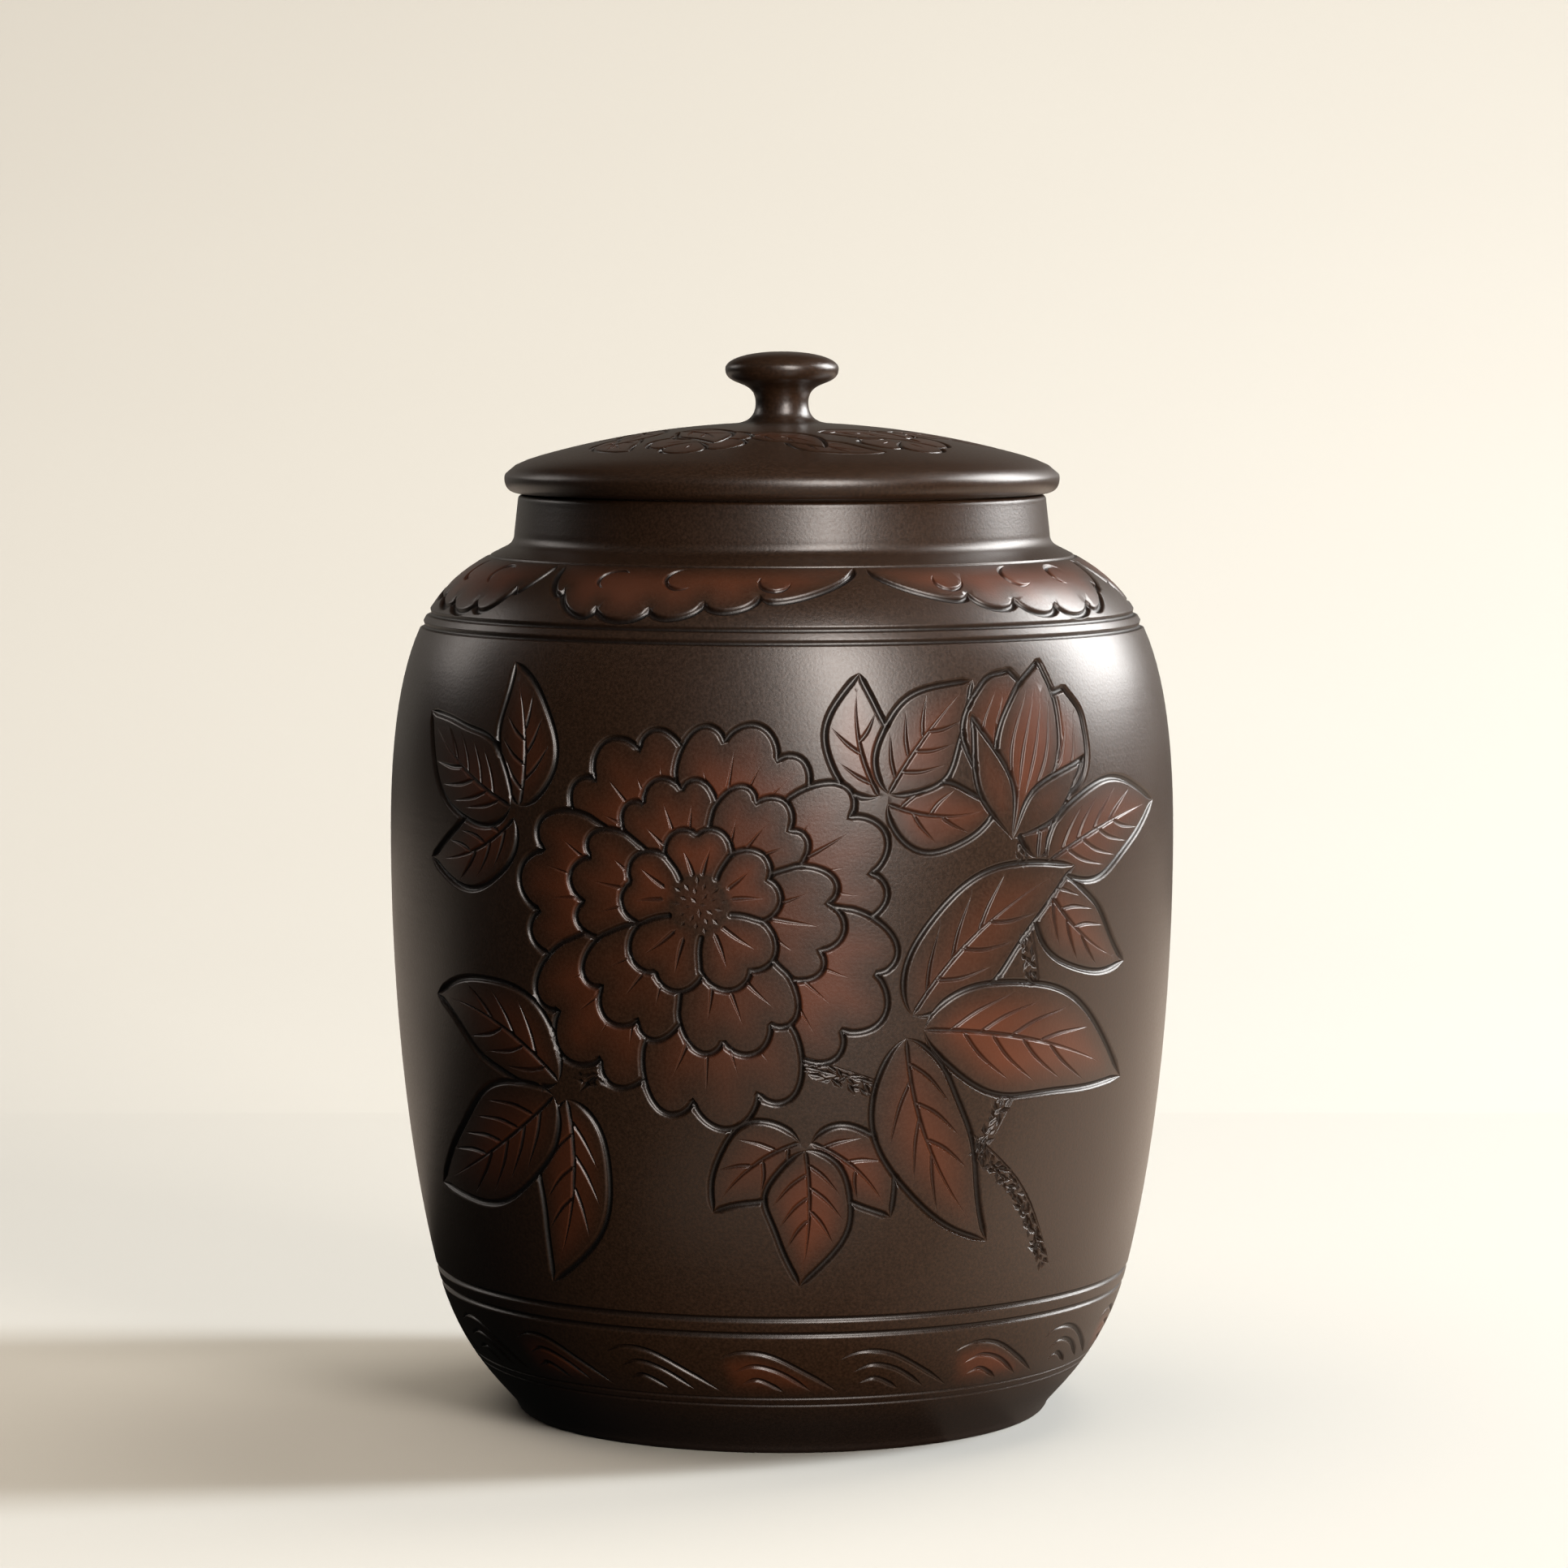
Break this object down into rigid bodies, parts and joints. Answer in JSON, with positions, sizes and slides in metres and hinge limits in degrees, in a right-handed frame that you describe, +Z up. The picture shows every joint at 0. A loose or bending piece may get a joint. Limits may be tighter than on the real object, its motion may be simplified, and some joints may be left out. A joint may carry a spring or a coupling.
{
  "type": "stoneware storage jar",
  "caption": "Turned and carved dark stoneware storage jar with a swelling body, short upright neck and a loose domed lid with a mushroom knob, for keeping dry food or tea.",
  "frame": {"origin": "centre of the foot, on the surface that the jar stands on", "axes": "+Z up along the turning axis, -Y towards the front of the picture"},
  "size_m": [0.1932, 0.1932, 0.261],
  "materials": {
    "burnished_stoneware": "unglazed dark brown clay, burnished to a satin"
  },
  "bodies": {
    "jar": {"jar_body": "burnished_stoneware"},
    "cover": {"lid": "burnished_stoneware", "lid_knob": "burnished_stoneware"}
  },
  "joints": [
    {"name": "lid_lift", "type": "slide", "parent": "jar", "child": "cover", "axis": [0, 0, 1], "range_m": [0, 0.12]}
  ]
}
